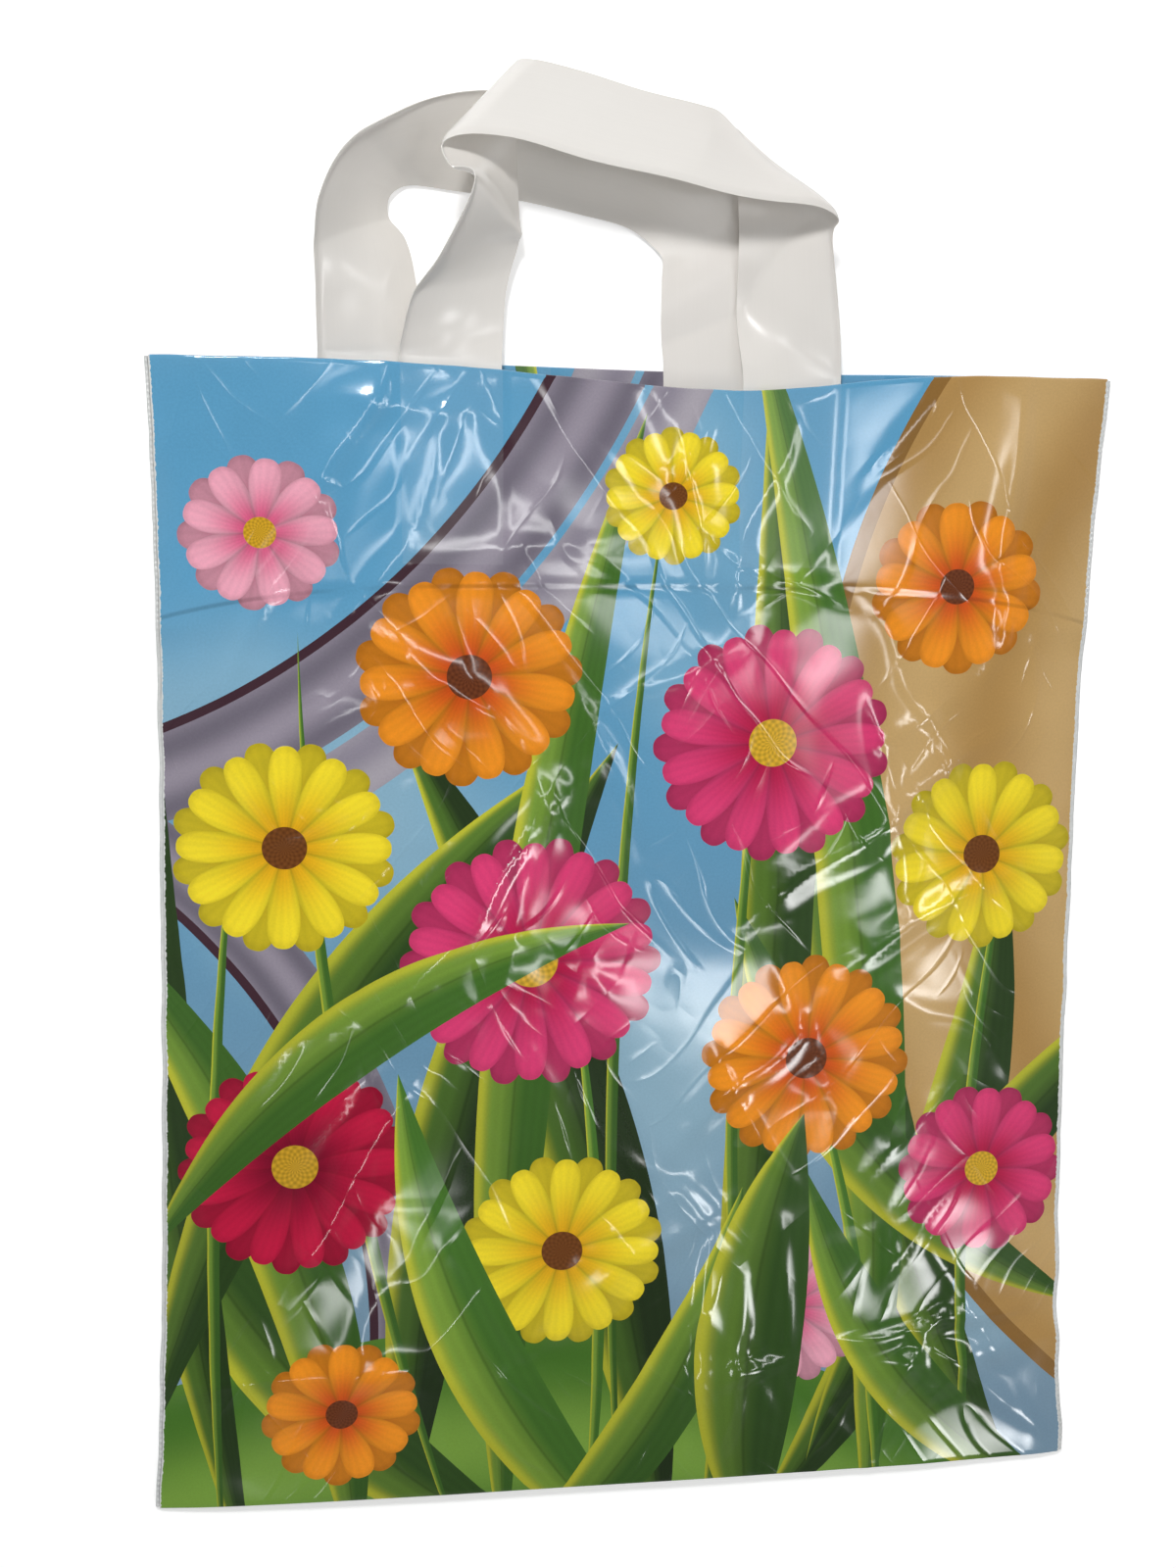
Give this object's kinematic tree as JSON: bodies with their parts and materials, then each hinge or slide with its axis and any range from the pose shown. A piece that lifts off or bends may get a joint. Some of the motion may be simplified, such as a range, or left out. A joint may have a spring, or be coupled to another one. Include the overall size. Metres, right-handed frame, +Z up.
{
  "type": "plastic carrier bag",
  "caption": "Flat-lying plastic film carrier bag with folded bottom gusset, turned-in hem, welded sides and soft loop handles.",
  "frame": {"origin": "middle of the whole outline, on the surface that the bag lies on", "axes": "+X across the bag, +Y from its foot to its handles, +Z up through the front panel"},
  "size_m": [0.38, 0.5598, 0.0455],
  "materials": {
    "printed_film": "glossy printed polyethylene film, white inside",
    "handle_film": "glossy off-white polyethylene film"
  },
  "bodies": {
    "root": {"bag_body": "printed_film", "front_handle": "handle_film", "back_handle": "handle_film"}
  },
  "joints": []
}
